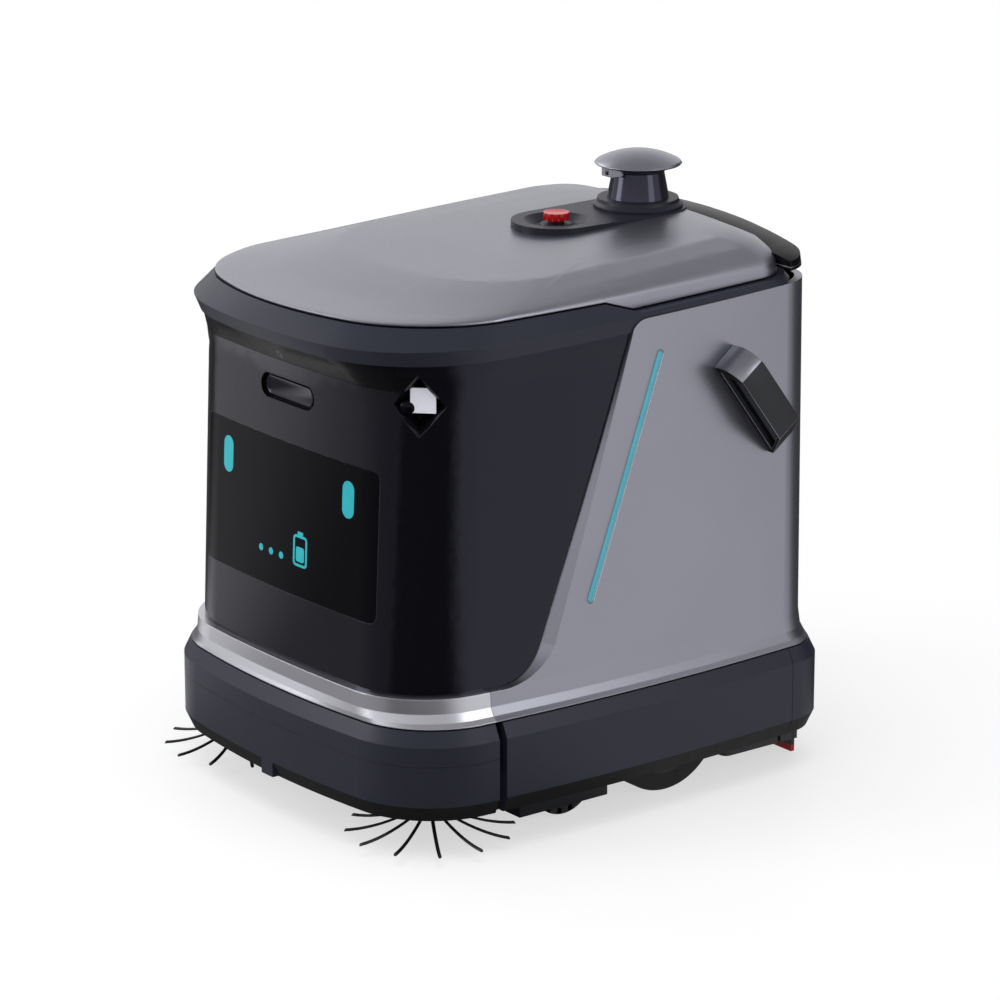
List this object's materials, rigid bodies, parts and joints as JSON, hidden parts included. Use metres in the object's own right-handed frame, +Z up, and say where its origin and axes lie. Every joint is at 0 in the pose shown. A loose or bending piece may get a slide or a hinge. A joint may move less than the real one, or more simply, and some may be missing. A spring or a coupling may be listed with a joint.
{
  "type": "floor scrubbing robot",
  "caption": "Compact upright floor scrubbing robot with a hinged lid, scanner tower, side brushes, scrub roller, squeegee, sprung bumper and drive wheels.",
  "frame": {"origin": "on the floor, midway between the drive wheels", "axes": "+Z up from the floor, +Y towards the rear, +X towards the robot's left side"},
  "size_m": [0.566, 0.641, 0.6925],
  "materials": {
    "slate_shell": "satin",
    "black_fascia": "gloss",
    "display_glass": "gloss",
    "camera_glass": "gloss",
    "silver_shell": "satin metallic",
    "bright_trim": "satin metallic",
    "light_lens": "lit",
    "dark_plastic": "matte",
    "tower_glass": "gloss",
    "rotor_plastic": "matte",
    "stop_red": "gloss",
    "tank_plastic": "matte",
    "cap_plastic": "matte",
    "painted_steel": "satin",
    "frame_aluminium": "satin",
    "steel": "brushed",
    "contact_brass": "polished",
    "blade_red": "matte",
    "wheel_rubber": "matte",
    "caster_rubber": "matte",
    "bristle": "matte",
    "roller_bristle": "matte"
  },
  "bodies": {
    "chassis": {"left_side_skirt": "slate_shell", "right_side_skirt": "slate_shell", "rear_skirt": "slate_shell", "top_collar": "slate_shell", "front_fascia": "black_fascia", "display_screen": "display_glass", "front_cameras": "camera_glass", "corner_cameras": "camera_glass", "pod_windows": "camera_glass", "left_side_panel": "silver_shell", "right_side_panel": "silver_shell", "rear_cover": "silver_shell", "sensor_pods": "silver_shell", "front_trim_band": "bright_trim", "light_strips": "light_lens", "battery_pack": "dark_plastic", "control_box": "dark_plastic", "suction_fan": "dark_plastic", "bumper_guides": "dark_plastic", "clean_water_tank": "tank_plastic", "waste_water_tank": "tank_plastic", "tank_caps": "cap_plastic", "chassis_plate": "painted_steel", "drive_motors": "painted_steel", "side_brush_motors": "painted_steel", "frame_posts": "frame_aluminium", "tank_shelf": "frame_aluminium", "base_screws": "steel", "hinge_ears": "steel", "charge_contacts": "contact_brass"},
    "lid": {"lid_panel": "silver_shell", "deck_plate": "dark_plastic", "tower_ring": "dark_plastic", "tower_window": "tower_glass", "tower_cap": "silver_shell", "tower_camera": "silver_shell", "rear_bar": "black_fascia", "hinge_arms": "steel"},
    "scan_rotor": {"scan_rotor": "rotor_plastic"},
    "stop_plunger": {"stop_plunger": "dark_plastic"},
    "stop_head": {"stop_head": "stop_red"},
    "bumper": {"bumper_shell": "slate_shell"},
    "left_side_brush": {"left_brush_hub": "dark_plastic", "left_brush_bristles": "bristle"},
    "right_side_brush": {"right_brush_hub": "dark_plastic", "right_brush_bristles": "bristle"},
    "scrub_deck": {"deck_housing": "dark_plastic", "roller_motor": "painted_steel"},
    "roller": {"main_roller": "roller_bristle"},
    "squeegee": {"squeegee_frame": "painted_steel", "squeegee_blades": "blade_red"},
    "left_drive_wheel": {"left_wheel_rim": "dark_plastic", "left_wheel_tyre": "wheel_rubber"},
    "right_drive_wheel": {"right_wheel_rim": "dark_plastic", "right_wheel_tyre": "wheel_rubber"},
    "left_caster": {"left_caster_fork": "steel"},
    "right_caster": {"right_caster_fork": "steel"},
    "left_caster_roll": {"left_caster_wheel": "caster_rubber"},
    "right_caster_roll": {"right_caster_wheel": "caster_rubber"}
  },
  "joints": [
    {"name": "lid_hinge", "type": "hinge", "parent": "chassis", "child": "lid", "pos_m": [0, 0.221, 0.5865], "axis": [-1, 0, 0], "range_deg": [0, 72]},
    {"name": "scan_spin", "type": "hinge", "parent": "lid", "child": "scan_rotor", "pos_m": [0, 0.128, 0.65], "axis": [0, 0, 1], "continuous": true},
    {"name": "stop_press", "type": "slide", "parent": "lid", "child": "stop_plunger", "axis": [0, 0, -1], "range_m": [0, 0.0035], "stiffness_N_per_m": 800, "springref_m": -0.002},
    {"name": "stop_twist", "type": "hinge", "parent": "stop_plunger", "child": "stop_head", "pos_m": [0, 0.008, 0.63], "axis": [0, 0, -1], "range_deg": [0, 45], "stiffness_Nm_per_rad": 0.05},
    {"name": "bumper_press", "type": "slide", "parent": "chassis", "child": "bumper", "axis": [0, 1, 0], "range_m": [0, 0.008], "stiffness_N_per_m": 1500, "springref_m": -0.004},
    {"name": "left_brush_spin", "type": "hinge", "parent": "chassis", "child": "left_side_brush", "pos_m": [0.181, -0.308, 0.04], "axis": [0, 0, 1], "continuous": true},
    {"name": "right_brush_spin", "type": "hinge", "parent": "chassis", "child": "right_side_brush", "pos_m": [-0.181, -0.308, 0.04], "axis": [0, 0, 1], "continuous": true},
    {"name": "deck_lift", "type": "slide", "parent": "chassis", "child": "scrub_deck", "axis": [0, 0, 1], "range_m": [0, 0.025]},
    {"name": "roller_spin", "type": "hinge", "parent": "scrub_deck", "child": "roller", "pos_m": [0, -0.1465, 0.047], "axis": [1, 0, 0], "continuous": true},
    {"name": "squeegee_lift", "type": "slide", "parent": "chassis", "child": "squeegee", "axis": [0, 0, 1], "range_m": [0, 0.025]},
    {"name": "left_wheel_spin", "type": "hinge", "parent": "chassis", "child": "left_drive_wheel", "pos_m": [0.198, 0, 0.08], "axis": [1, 0, 0], "continuous": true},
    {"name": "right_wheel_spin", "type": "hinge", "parent": "chassis", "child": "right_drive_wheel", "pos_m": [-0.198, 0, 0.08], "axis": [1, 0, 0], "continuous": true},
    {"name": "left_caster_swivel", "type": "hinge", "parent": "chassis", "child": "left_caster", "pos_m": [0.045, -0.285, 0.077], "axis": [0, 0, 1], "continuous": true},
    {"name": "left_caster_spin", "type": "hinge", "parent": "left_caster", "child": "left_caster_roll", "pos_m": [0.045, -0.273, 0.024], "axis": [1, 0, 0], "continuous": true},
    {"name": "right_caster_swivel", "type": "hinge", "parent": "chassis", "child": "right_caster", "pos_m": [-0.045, -0.285, 0.077], "axis": [0, 0, 1], "continuous": true},
    {"name": "right_caster_spin", "type": "hinge", "parent": "right_caster", "child": "right_caster_roll", "pos_m": [-0.045, -0.273, 0.024], "axis": [1, 0, 0], "continuous": true}
  ]
}
